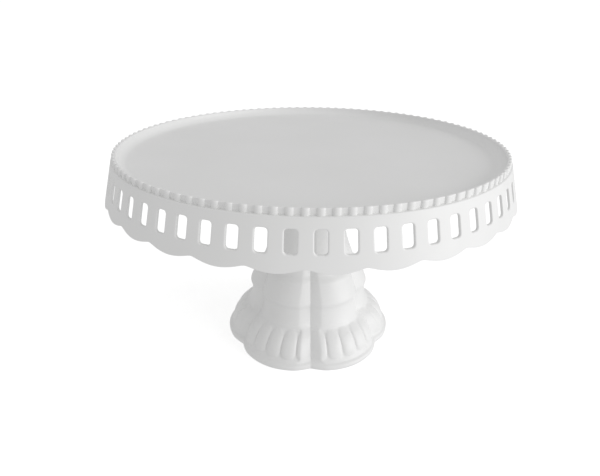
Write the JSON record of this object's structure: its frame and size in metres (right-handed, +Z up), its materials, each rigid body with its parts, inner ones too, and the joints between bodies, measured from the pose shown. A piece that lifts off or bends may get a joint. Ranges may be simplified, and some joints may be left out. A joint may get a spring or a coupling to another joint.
{
  "type": "cake stand",
  "caption": "Round serving plate with a toothed rim and a scalloped ribbon-slot skirt on a hollow lobed pedestal; the plate twists to lock and unlock.",
  "frame": {"origin": "on the table, on the stand's upright axis", "axes": "+Z up along the stand's axis, -Y towards the front, with a groove of the pedestal at the front"},
  "size_m": [0.3048, 0.3048, 0.1668],
  "materials": {
    "white_plastic": "white moulded plastic, soft gloss",
    "lock_plastic": "off-white moulded plastic, matt",
    "screw_steel": "zinc-plated steel"
  },
  "bodies": {
    "foot": {"pedestal": "white_plastic"},
    "plate": {"cake_plate": "white_plastic", "lock_ring": "lock_plastic", "lock_screw_1": "screw_steel", "lock_screw_2": "screw_steel", "lock_screw_3": "screw_steel"}
  },
  "joints": [
    {"name": "plate_twist", "type": "hinge", "parent": "foot", "child": "plate", "pos_m": [0, 0, 0.1569], "axis": [0, 0, 1], "range_deg": [0, 56]}
  ]
}
